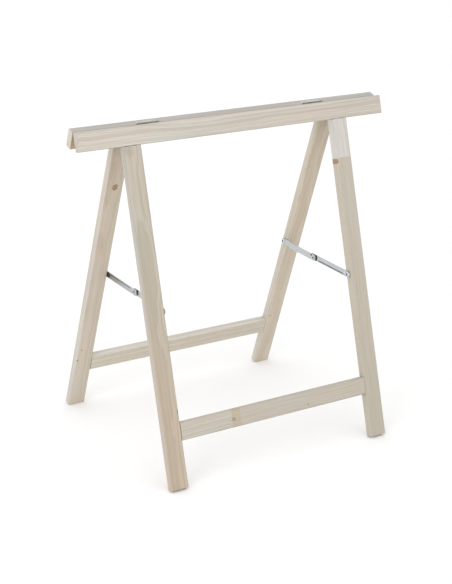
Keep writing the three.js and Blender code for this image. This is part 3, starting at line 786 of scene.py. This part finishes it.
dowel_material = beech()
for name, node in frame["nodes"].items():
    if "dowel" in name:
        node.data.materials.clear()
        node.data.materials.append(dowel_material)

# ---- butt hinges ----

SEAM_ANGLE = 206
KNUCKLE_STEPS = 36
SLOT_COUNT = 5
SLOT_GAP = 0.15 * MM
LEAF_CLEARANCE = 0.4 * MM
LEAF_EDGE = 0.12 * MM
SCREW_SEAT_GAP = 0.12 * MM
PIN_SEGMENTS = 32
PIN_ROUNDING = 0.55
FLAT_HEAD_RIM = 0.2 * MM
FLAT_HEAD_SOFT = 0.1 * MM
FLAT_SCREW_POINT = 3 * MM
HINGE_CROSS_SLOT = 0.62 * MM
HINGE_CROSS_FOOT = 0.9 * MM
HINGE_CROSS_DEPTH = 0.95 * MM
LEAF_COLOR = srgb(198, 198, 191)
PIN_ZINC = zinc("pin_zinc", srgb(150, 150, 148), 0.35)
# the hinge screws' cross recess gets painted shade
HINGE_SCREW_ZINC = zinc("hinge_screw_zinc", srgb(204, 204, 199), 0.3, discs=((0.0, 0.0, 1.7, 0.25, DEEP),))


def leaf_mesh(half_length, width, thickness, radius, outer):
    """Leaf round the x axis: a plate on the -y side, rolled round the pin."""
    bm = bmesh.new()
    bottom, top = -radius, thickness - radius
    neck = -(radius + LEAF_CLEARANCE)
    pitch = 2 * half_length / SLOT_COUNT
    marks = [(-half_length, False)]
    for slot in range(SLOT_COUNT):
        if (slot % 2 == 0) == outer:
            start = -half_length + slot * pitch
            marks += [(start + SLOT_GAP, True), (start + pitch - SLOT_GAP, False)]
    marks.append((half_length, False))
    columns = []
    for x, _ in marks:
        corners = ((x, -width, bottom), (x, neck, bottom), (x, neck, top), (x, -width, top))
        columns.append([bm.verts.new(co) for co in corners])
    bm.faces.new(columns[0])
    bm.faces.new(columns[-1])
    section = [(0.0, bottom)] + arc((0, 0), radius, -90, SEAM_ANGLE, KNUCKLE_STEPS)[1:]
    section += arc((0, 0), radius - thickness, SEAM_ANGLE, -90, KNUCKLE_STEPS)
    for (left, right), (_, knuckle) in zip(zip(columns, columns[1:]), marks):
        for i in (0, 2, 3) if knuckle else range(4):
            j = (i + 1) % 4
            bm.faces.new([left[i], left[j], right[j], right[i]])
        if knuckle:
            rings = []
            for column in (left, right):
                x = column[0].co.x
                rings.append([column[1]] + [bm.verts.new((x, y, z)) for y, z in section] + [column[2]])
            for i in range(len(rings[0]) - 1):
                bm.faces.new([rings[0][i], rings[0][i + 1], rings[1][i + 1], rings[1][i]])
            bm.faces.new(rings[0])
            bm.faces.new(rings[1])
    return bm


def cross_mesh(size, slot, foot, depth, top):
    """Tapered cross recess, from above the plane z = top up to top + depth."""
    bm = bmesh.new()
    loops = []
    reach, half = size / 2, slot / 2
    steps = ((reach, half, top - depth / 2), (reach, half, top), (foot / 2, slot * 0.36, top + depth))
    for reach, half, height in steps:
        outline = []
        for quarter in range(4):
            turn = Matrix.Rotation(quarter * math.pi / 2, 4, "Z")
            for x, y in ((half, -half), (reach, -half), (reach, half)):
                outline.append(turn @ Vector((x, y, height)))
        loops.append([bm.verts.new(co) for co in outline])
    for lower, upper in zip(loops, loops[1:]):
        bridge(bm, lower, upper)
    bm.faces.new(loops[0])
    bm.faces.new(loops[-1])
    return bm


def screw_seat(low, high, thickness):
    """Countersunk hole through a leaf, round a screw's box."""
    head = (high.x - low.x) / 2 + SCREW_SEAT_GAP
    shank, top = head * 0.58, high.z
    seat = lathe_mesh([(0, top - 3 * thickness), (shank, top - 3 * thickness), (shank, top - thickness * 0.8),
                       (head, top - thickness * 0.12), (head, top + thickness), (0, top + thickness)])
    centre = (low + high) / 2
    bmesh.ops.translate(seat, verts=seat.verts, vec=(centre.x, centre.y, 0))
    return seat


def add_flat_screw(node, side, place, low, high):
    head = (high.x - low.x) / 2
    length = high.z - low.z
    shank = head * 0.5
    centre = Vector(((low.x + high.x) / 2, (low.y + high.y) / 2, high.z))
    place = place @ Matrix.Translation(centre) @ Matrix.Rotation(math.pi, 4, "X")
    profile = [(0, 0), (head - FLAT_HEAD_SOFT, 0), (head, FLAT_HEAD_SOFT * 0.8), (head, FLAT_HEAD_RIM),
               (shank, head * 0.4), (shank, length - FLAT_SCREW_POINT), (0, length)]
    obj = to_object(lathe_mesh(profile), node, place)
    carve(obj, [cross_mesh(head * 1.1, HINGE_CROSS_SLOT, HINGE_CROSS_FOOT, HINGE_CROSS_DEPTH, 0)])
    settle(obj, node + "_head", side + "_frame", node, HINGE_SCREW_ZINC)


def add_leaf(hand, side, outer):
    leaf = f"{hand}_hinge_{side}_leaf"
    low, high = local_box(leaf, FRAMES[side])
    place = FRAMES[side] @ Matrix.Translation(((low.x + high.x) / 2, 0, 0))
    screws = [f"{hand}_hinge_{side}_screw_{n}" for n in (1, 2)]
    boxes = [local_box(screw, place) for screw in screws]
    thickness = boxes[0][1].z - low.z
    radius = -low.z
    obj = to_object(leaf_mesh((high.x - low.x) / 2, -low.y, thickness, radius, outer), leaf, place)
    carve(obj, [screw_seat(*box, thickness) for box in boxes])
    soften(obj, LEAF_EDGE)
    # the mesh is stored level, so that its own box is no larger than the leaf
    obj.data.transform(place.to_3x3().to_4x4())
    obj.matrix_world = Matrix.Translation(place.translation)
    leaf_zinc = zinc(leaf + "_zinc", LEAF_COLOR, 0.34, barrel=radius / MM)
    settle(obj, leaf + "_rolled", side + "_frame", leaf, leaf_zinc)
    for screw, box in zip(screws, boxes):
        add_flat_screw(screw, side, place, *box)


def add_hinge_pin(hand):
    pin = f"{hand}_hinge_pin"
    low, high = local_box(pin, HINGE_LINE)
    radius, half = high.z, (high.x - low.x) / 2
    rounding = radius * PIN_ROUNDING
    tip = [(radius - rounding + px, py) for px, py in arc((0, half - rounding), rounding, 0, 90, 6)]
    profile = [(0, -half)] + [(r, -h) for r, h in reversed(tip)] + tip + [(0, half)]
    centre = Matrix.Translation(((low.x + high.x) / 2, 0, 0))
    place = HINGE_LINE @ centre @ Matrix.Rotation(math.pi / 2, 4, "Y")
    obj = to_object(lathe_mesh(profile, PIN_SEGMENTS), pin, place)
    settle(obj, pin + "_turned", frame["nodes"][pin]["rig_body"], pin, PIN_ZINC)


for hand, outer_side in (("left", "rear"), ("right", "front")):
    for side in ("front", "rear"):
        add_leaf(hand, side, side == outer_side)
    add_hinge_pin(hand)

# ---- folding stays ----
# Local frame of each piece: x along its arm, y up, z towards the leg.

BEAD_FROM_PIN = 14 * MM
BEAD_FROM_ELBOW = 15 * MM
BEAD_HALF_TOP = 0.9 * MM
BEAD_HALF_FOOT = 5.0 * MM
BEAD_STEPS = 10
TAIL = 11 * MM
TAIL_CORNER = 1.6 * MM
ARM_END_STEPS = 28
SCREW_BORE = 2.55 * MM
RIVET_BORE = 2.8 * MM
CATCH_X, CATCH_Y, CATCH_RADIUS, CATCH_DEPTH = 8.4 * MM, 4.3 * MM, 2.3 * MM, 1.1 * MM
DIMPLE_X, DIMPLE_Y, DIMPLE_RADIUS, DIMPLE_DEPTH = 21 * MM, 2.6 * MM, 1.0 * MM, 0.45 * MM
CHANNEL_SHEET = 1.2 * MM
FLAT_SHEET = 1.5 * MM
JOGGLE_FROM_PIN = 36 * MM
JOGGLE_LENGTH = 12 * MM
JOGGLE_STEPS = 12
RIVET_SHANK = 0.62
CLINCH_RIM = 0.3 * MM
CLINCH_HEIGHT = 0.9 * MM
CLINCH_HOLLOW = 1.5
CAP_HEIGHT = 1.0 * MM
CAP_ROUNDING = 0.55 * MM
CAP_BORE = 2.3 * MM
CAP_BORE_DEPTH = 1.8 * MM
WASHER_EDGE = 0.2 * MM
PAN_HEAD_HEIGHT = 2.0 * MM
PAN_SHANK = 2.2 * MM
PAN_POINT = 4 * MM
DOME_STEPS = 10
DOME_FLAT = 0.42
DOME_RIM = 0.3
DISH_RADIUS = 3.0 * MM
DISH_DEPTH = 0.45 * MM
CROSS = (4.4 * MM, 1.2 * MM, 2.0 * MM, 1.5 * MM)

STAY_ZINC = srgb(196, 200, 203)
RIVET_COLOR = srgb(190, 193, 195)
CAP_COLOR = srgb(212, 214, 215)
PAN_COLOR = srgb(232, 234, 235)
ELBOW_RING = (6.6, 9.9)
PIN_SHADE_RADIUS = 19.0
SPACER_ZINC = zinc("spacer_zinc", srgb(172, 175, 178), 0.34)


def stadium(start, end, radius, steps=16):
    return arc((end, 0), radius, -90, 90, steps) + arc((start, 0), radius, 90, 270, steps)


def hole(x, radius):
    return arc((x, 0), radius, 0, 360, 32)[:-1]


def loop_of(bm, outline, z):
    verts = [bm.verts.new((x, y, z)) for x, y in outline]
    edges = [bm.edges.new((verts[i], verts[(i + 1) % len(verts)])) for i in range(len(verts))]
    return verts, edges


def sheet_mesh(outline, holes, z, rings=()):
    """Flat sheet with holes at z, and optional rings that raise a bead from
    the last hole. Rings are (outline, z) from the foot inwards."""
    bm = bmesh.new()
    edges = loop_of(bm, outline, z)[1]
    for one in holes:
        verts, ring_edges = loop_of(bm, one, z)
        edges += ring_edges
    bmesh.ops.triangle_fill(bm, use_beauty=True, use_dissolve=False, edges=edges, normal=(0, 0, -1))
    for points, height in rings:
        upper = [bm.verts.new((x, y, height)) for x, y in points]
        bridge(bm, verts, upper)
        verts = upper
    if rings:
        bm.faces.new(verts)
    return bm


def sheet_object(bm, name, place, thickness):
    """Object of an open sheet that looks to -z, thickened on the leg side."""
    bmesh.ops.recalc_face_normals(bm, faces=bm.faces)
    bm.normal_update()
    largest = max(bm.faces, key=lambda face: face.calc_area())
    if largest.normal.z > 0:
        bmesh.ops.reverse_faces(bm, faces=bm.faces)
    obj = link_mesh(bm, name, place)
    solid = obj.modifiers.new("solid", "SOLIDIFY")
    solid.thickness = thickness
    solid.offset = -1.0
    solid.use_even_offset = True
    bake_modifiers(obj)
    return obj


def along(origin, target, leg_x):
    """Local frame at origin with x towards target and z towards the leg."""
    x_axis = Vector((0, target.y - origin.y, target.z - origin.z)).normalized()
    z_axis = Vector((math.copysign(1, leg_x), 0, 0))
    y_axis = z_axis.cross(x_axis)
    turn = Matrix((x_axis, y_axis, z_axis)).transposed().to_4x4()
    return Matrix.Translation((leg_x, origin.y, origin.z)) @ turn


def eased(share):
    return share * share * (3 - 2 * share)


def joggle(bm, start, length, drop):
    """Bends the part of a flat sheet beyond start + length towards the leg."""
    for i in range(-1, JOGGLE_STEPS + 2):
        slice_across(bm, start + length * i / JOGGLE_STEPS)
    for vertex in bm.verts:
        vertex.co.z += drop * eased(min(max((vertex.co.x - start) / length, 0), 1))


def bead_rings(length, foot_z, top_z):
    rings = []
    for i in range(1, BEAD_STEPS + 1):
        share = i / BEAD_STEPS
        radius = BEAD_HALF_FOOT + (BEAD_HALF_TOP - BEAD_HALF_FOOT) * share
        outline = stadium(BEAD_FROM_PIN, length - BEAD_FROM_ELBOW, radius)
        rings.append((outline, foot_z + (top_z - foot_z) * eased(share)))
    return rings


def blind_hole(x, y, radius, depth, face, taper=False):
    """Cutter that sinks a round recess into the plane z = face."""
    wall = face if taper else face + depth
    cutter = lathe_mesh([(0, face - depth), (radius, face - depth), (radius, wall), (0, face + depth)])
    bmesh.ops.translate(cutter, verts=cutter.verts, vec=(x, y, 0))
    return cutter


def domed_head(radius, under, top):
    height = top - under
    rim = height * DOME_RIM
    points = [(0, top)]
    for i in range(1, DOME_STEPS + 1):
        t = i / DOME_STEPS * math.pi / 2
        reach = radius * (DOME_FLAT + (1 - DOME_FLAT) * math.sin(t))
        points.append((reach, under + rim + (height - rim) * math.cos(t)))
    points.append((radius, under + 0.12 * height))
    points.append((radius * 0.975, under))
    return points


def outward(profile):
    """Heights measured away from the leg become -z."""
    return [(radius, -height) for radius, height in profile]


def recess(radius, low, start=0.1):
    """Painted shade of a recess at the middle of a face z = low."""
    return (0.0, 0.0, radius, low / MM + start, DEEP)


class Stay:
    """Bodies, sides and local frames of one folding stay."""

    def __init__(self, hand):
        joints = {joint["child"]: joint for joint in frame["joints"]}
        self.node = f"{hand}_stay_"
        self.channel_body, self.flat_body = f"{hand}_channel_arm", f"{hand}_flat_arm"
        self.channel_side = joints[self.channel_body]["parent"].split("_")[0]
        self.flat_side = joints[self.flat_body]["parent"].split("_")[0]
        channel_pin = Vector(joints[self.channel_body]["pos_m"])
        flat_pin = Vector(joints[self.flat_body]["pos_m"])
        rivet_low, rivet_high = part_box(self.node + "elbow_rivet")
        elbow = (rivet_low + rivet_high) / 2
        to_elbow = Vector((0, elbow.y - channel_pin.y, elbow.z - channel_pin.z))
        to_flat_pin = Vector((0, flat_pin.y - elbow.y, flat_pin.z - elbow.z))
        self.length = to_elbow.length
        self.on_channel = along(channel_pin, elbow, channel_pin.x)
        self.on_flat = along(elbow, flat_pin, channel_pin.x)
        self.on_elbow = Matrix.Translation(to_elbow) @ self.on_channel
        self.at_flat_pin = Matrix.Translation(to_flat_pin) @ self.on_flat
        low, high = local_box(self.node + "channel_arm", self.on_channel)
        self.half = (high.y - low.y) / 2


def add_channel_arm(stay):
    """Ribbed arm. Its mesh has its origin at the elbow."""
    node, length, half = stay.node + "channel_arm", stay.length, stay.half
    low, high = local_box(node, stay.on_channel)
    front_z = high.z - CHANNEL_SHEET
    corner = half - TAIL_CORNER
    tip = length + TAIL - TAIL_CORNER
    outline = arc((tip, -corner), TAIL_CORNER, -90, 0, 5) + arc((tip, corner), TAIL_CORNER, 0, 90, 5)
    outline += arc((0, 0), half, 90, 270, ARM_END_STEPS)
    foot = stadium(BEAD_FROM_PIN, length - BEAD_FROM_ELBOW, BEAD_HALF_FOOT)
    holes = [hole(0, SCREW_BORE), hole(length, RIVET_BORE), foot]
    bm = sheet_mesh(outline, holes, front_z, bead_rings(length, front_z, low.z))
    for vertex in bm.verts:
        vertex.co.x -= length
    place = stay.on_channel @ Matrix.Translation((length, 0, 0))
    obj = sheet_object(bm, node, place, CHANNEL_SHEET)
    soften(obj, PLATE_EDGE)
    plate = front_z / MM
    bead = ((BEAD_FROM_PIN - length) / MM, -BEAD_FROM_ELBOW / MM, BEAD_HALF_TOP / MM, BEAD_HALF_FOOT / MM)
    # painted shade behind the catch hole; the ring paints the shadow of the flat arm's end round the elbow,
    # and the side towards the leg gets painted shade near the pin
    behind_catch = (CATCH_X / MM, CATCH_Y / MM, CATCH_RADIUS / MM + 1.2, plate - 1.0, plate + 0.1)
    material = zinc(node + "_zinc", STAY_ZINC, 0.38, ring=(*ELBOW_RING, plate + 0.1), discs=(behind_catch,),
                    bead=bead, leg_shade=(-length / MM, PIN_SHADE_RADIUS))
    settle(obj, node + "_pressed", stay.channel_body, node, material)


def add_flat_arm(stay):
    node = stay.node + "flat_arm"
    low, high = local_box(node, stay.on_flat)
    length = high.x - low.x - 2 * stay.half
    outline = stadium(0, length, stay.half, ARM_END_STEPS)
    bm = sheet_mesh(outline, [hole(length, SCREW_BORE), hole(0, RIVET_BORE)], low.z)
    joggle(bm, length - JOGGLE_FROM_PIN, JOGGLE_LENGTH, high.z - low.z - FLAT_SHEET)
    obj = sheet_object(bm, node, stay.on_flat, FLAT_SHEET)
    carve(obj, [blind_hole(DIMPLE_X, DIMPLE_Y, DIMPLE_RADIUS, DIMPLE_DEPTH, low.z, taper=True),
                blind_hole(CATCH_X, CATCH_Y, CATCH_RADIUS, CATCH_DEPTH, low.z)])
    soften(obj, PLATE_EDGE)
    face = low.z / MM
    # painted shade inside the catch hole and the dimple
    painted_shade_spots = ((CATCH_X / MM, CATCH_Y / MM, CATCH_RADIUS / MM + 0.12, face - 1.0, DEEP),
              (DIMPLE_X / MM, DIMPLE_Y / MM, DIMPLE_RADIUS / MM, face + 0.1, face + 0.6))
    material = zinc(node + "_zinc", STAY_ZINC, 0.36, discs=painted_shade_spots)
    settle(obj, node + "_stamped", stay.flat_body, node, material)


def add_elbow_rivet(stay):
    node = stay.node + "elbow_rivet"
    low, high = local_box(node, stay.on_elbow)
    head = (high.y - low.y) / 2
    shank = head * RIVET_SHANK
    clinch, tip = -high.z, -low.z
    profile = [(0, clinch), (head * 0.8, clinch), (head, clinch + CLINCH_RIM), (head, clinch + CLINCH_HEIGHT),
               (shank, clinch + CLINCH_HEIGHT), (shank, tip - 0.2 * MM), (shank - 0.2 * MM, tip), (0, tip)]
    obj = to_object(lathe_mesh(outward(profile)), node, stay.on_elbow)
    # painted shade in the hollow of the clinched end
    material = zinc(node + "_zinc", RIVET_COLOR, 0.3, discs=(recess(CLINCH_HOLLOW, high.z, -0.4),))
    settle(obj, node + "_turned", stay.channel_body, node, material)

    node = stay.node + "elbow_rivet_cap"
    low, high = local_box(node, stay.on_flat)
    head = (high.y - low.y) / 2
    back, face = -high.z, -low.z
    under = face - CAP_HEIGHT
    edge = arc((head - CAP_ROUNDING, under + 0.35 * MM), CAP_ROUNDING, 0, 80, 8)
    profile = [(0, back), (shank, back), (shank, under), (head - 0.1 * MM, under)] + edge
    profile += [(CAP_BORE + 0.45 * MM, face), (CAP_BORE, face - 0.25 * MM),
                (CAP_BORE, face - CAP_BORE_DEPTH), (0, face - CAP_BORE_DEPTH)]
    obj = to_object(lathe_mesh(outward(profile)), node, stay.on_flat)
    # painted shade in the bore of the cap
    material = zinc(node + "_zinc", CAP_COLOR, 0.3, discs=(recess(CAP_BORE / MM + 0.5, low.z),))
    settle(obj, node + "_domed", stay.flat_body, node, material)


def add_washers(stay):
    rings = (
        ("elbow_spacer", stay.on_elbow, RIVET_BORE),
        (f"{stay.channel_side}_washer", stay.on_channel, SCREW_BORE),
        (f"{stay.flat_side}_washer", stay.at_flat_pin, SCREW_BORE),
    )
    for name, place, bore in rings:
        node = stay.node + name
        low, high = local_box(node, place)
        outer = (high.y - low.y) / 2
        inner_edge = outer - WASHER_EDGE
        profile = [(bore, low.z), (inner_edge, low.z), (outer, low.z + WASHER_EDGE),
                   (outer, high.z - WASHER_EDGE), (inner_edge, high.z), (bore, high.z)]
        obj = to_object(ring_mesh(profile), node, place)
        settle(obj, node + "_turned", frame["nodes"][node]["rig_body"], node, SPACER_ZINC)


def add_pan_screws(stay):
    for side, place in ((stay.channel_side, stay.on_channel), (stay.flat_side, stay.at_flat_pin)):
        node = f"{stay.node}{side}_screw"
        low, high = local_box(node, place)
        head = (high.y - low.y) / 2
        top = -low.z
        under = top - PAN_HEAD_HEIGHT
        profile = domed_head(head, under, top)
        profile += [(PAN_SHANK, under), (PAN_SHANK, -high.z + PAN_POINT), (0, -high.z)]
        obj = to_object(lathe_mesh(outward(profile)), node, place)
        dish = lathe_mesh([(0, low.z - DISH_DEPTH), (DISH_RADIUS, low.z - DISH_DEPTH), (DISH_RADIUS, low.z),
                           (DISH_RADIUS * 0.85, low.z + DISH_DEPTH), (0, low.z + DISH_DEPTH)])
        carve(obj, [dish, cross_mesh(*CROSS, low.z + DISH_DEPTH)])
        # painted shade in the dish and the cross recess
        material = zinc(node + "_zinc", PAN_COLOR, 0.3, discs=(recess(DISH_RADIUS / MM + 0.4, low.z),))
        settle(obj, node + "_head", frame["nodes"][node]["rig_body"], node, material)


for hand in ("left", "right"):
    stay = Stay(hand)
    add_channel_arm(stay)
    add_flat_arm(stay)
    add_elbow_rivet(stay)
    add_washers(stay)
    add_pan_screws(stay)

# ---- floor, light and camera ----

FLOOR_HALF = 25.0
FLOOR_STEPS = 24
FLOOR_DARK = (0.93, 0.93, 0.93, 1.0)
FLOOR_PALE = (0.95, 0.95, 0.95, 1.0)
WORLD_COLOR = (1.0, 1.0, 1.0, 1.0)
WORLD_STRENGTH = 1.08
KEY_PLACE = Vector((-3.8, -2.0, 1.5))
KEY_SIZE = 2.6
KEY_POWER = 50
CAMERA_PLACE = Vector((-1.59981, -2.47357, 1.45001))
CAMERA_TURN = math.radians(32.846)
CAMERA_DIP = math.radians(21.156)
CAMERA_ROLL = math.radians(1.897)
CAMERA_LENS = 88.24
CAMERA_REACH = 200.0


def floor_material():
    g = Graph("floor_paper")
    place = g.node("ShaderNodeTexCoord").outputs["Object"]
    grain = g.noise(place, (40.0, 40.0, 40.0), 3.0)
    cloud = g.noise(place, (0.4, 0.4, 0.4))
    color = g.mix(g.span(cloud, 0.3, 0.7, 0, 1), FLOOR_DARK, FLOOR_PALE)
    return g.finish(color, g.span(grain, 0.3, 0.7, 0.85, 0.95), grain, 0.1 * MM, 0.1, Specular_IOR_Level=0.1)


def add_floor():
    bm = bmesh.new()
    bmesh.ops.create_grid(bm, x_segments=FLOOR_STEPS, y_segments=FLOOR_STEPS, size=FLOOR_HALF)
    floor = link_mesh(bm, "floor", Matrix.Identity(4))
    floor.data.materials.append(floor_material())


def add_world():
    world = bpy.data.worlds.new("studio")
    world.use_nodes = True
    background = world.node_tree.nodes["Background"]
    background.inputs["Color"].default_value = WORLD_COLOR
    background.inputs["Strength"].default_value = WORLD_STRENGTH
    bpy.context.scene.world = world


def add_key_light(target):
    light = bpy.data.lights.new("key", "AREA")
    light.shape = "DISK"
    light.size = KEY_SIZE
    light.energy = KEY_POWER
    obj = bpy.data.objects.new("key", light)
    obj.location = KEY_PLACE
    obj.rotation_euler = (target - KEY_PLACE).to_track_quat("-Z", "Y").to_euler()
    bpy.context.scene.collection.objects.link(obj)


def camera_axes():
    flat = math.cos(CAMERA_DIP)
    look = Vector((math.sin(CAMERA_TURN) * flat, math.cos(CAMERA_TURN) * flat, -math.sin(CAMERA_DIP)))
    level = look.cross(Vector((0, 0, 1))).normalized()
    above = level.cross(look)
    right = level * math.cos(CAMERA_ROLL) + above * math.sin(CAMERA_ROLL)
    up = above * math.cos(CAMERA_ROLL) - level * math.sin(CAMERA_ROLL)
    return right, up, -look


add_floor()
add_world()
add_key_light((cad_bounds[0] + cad_bounds[1]) / 2)

scene = bpy.context.scene
scene.view_settings.view_transform = "Standard"
camera_data = bpy.data.cameras.new("camera")
camera_data.lens = CAMERA_LENS
camera_data.clip_end = CAMERA_REACH
camera = bpy.data.objects.new("camera", camera_data)
camera.matrix_world = Matrix.Translation(CAMERA_PLACE) @ Matrix(camera_axes()).transposed().to_4x4()
scene.collection.objects.link(camera)
scene.camera = camera
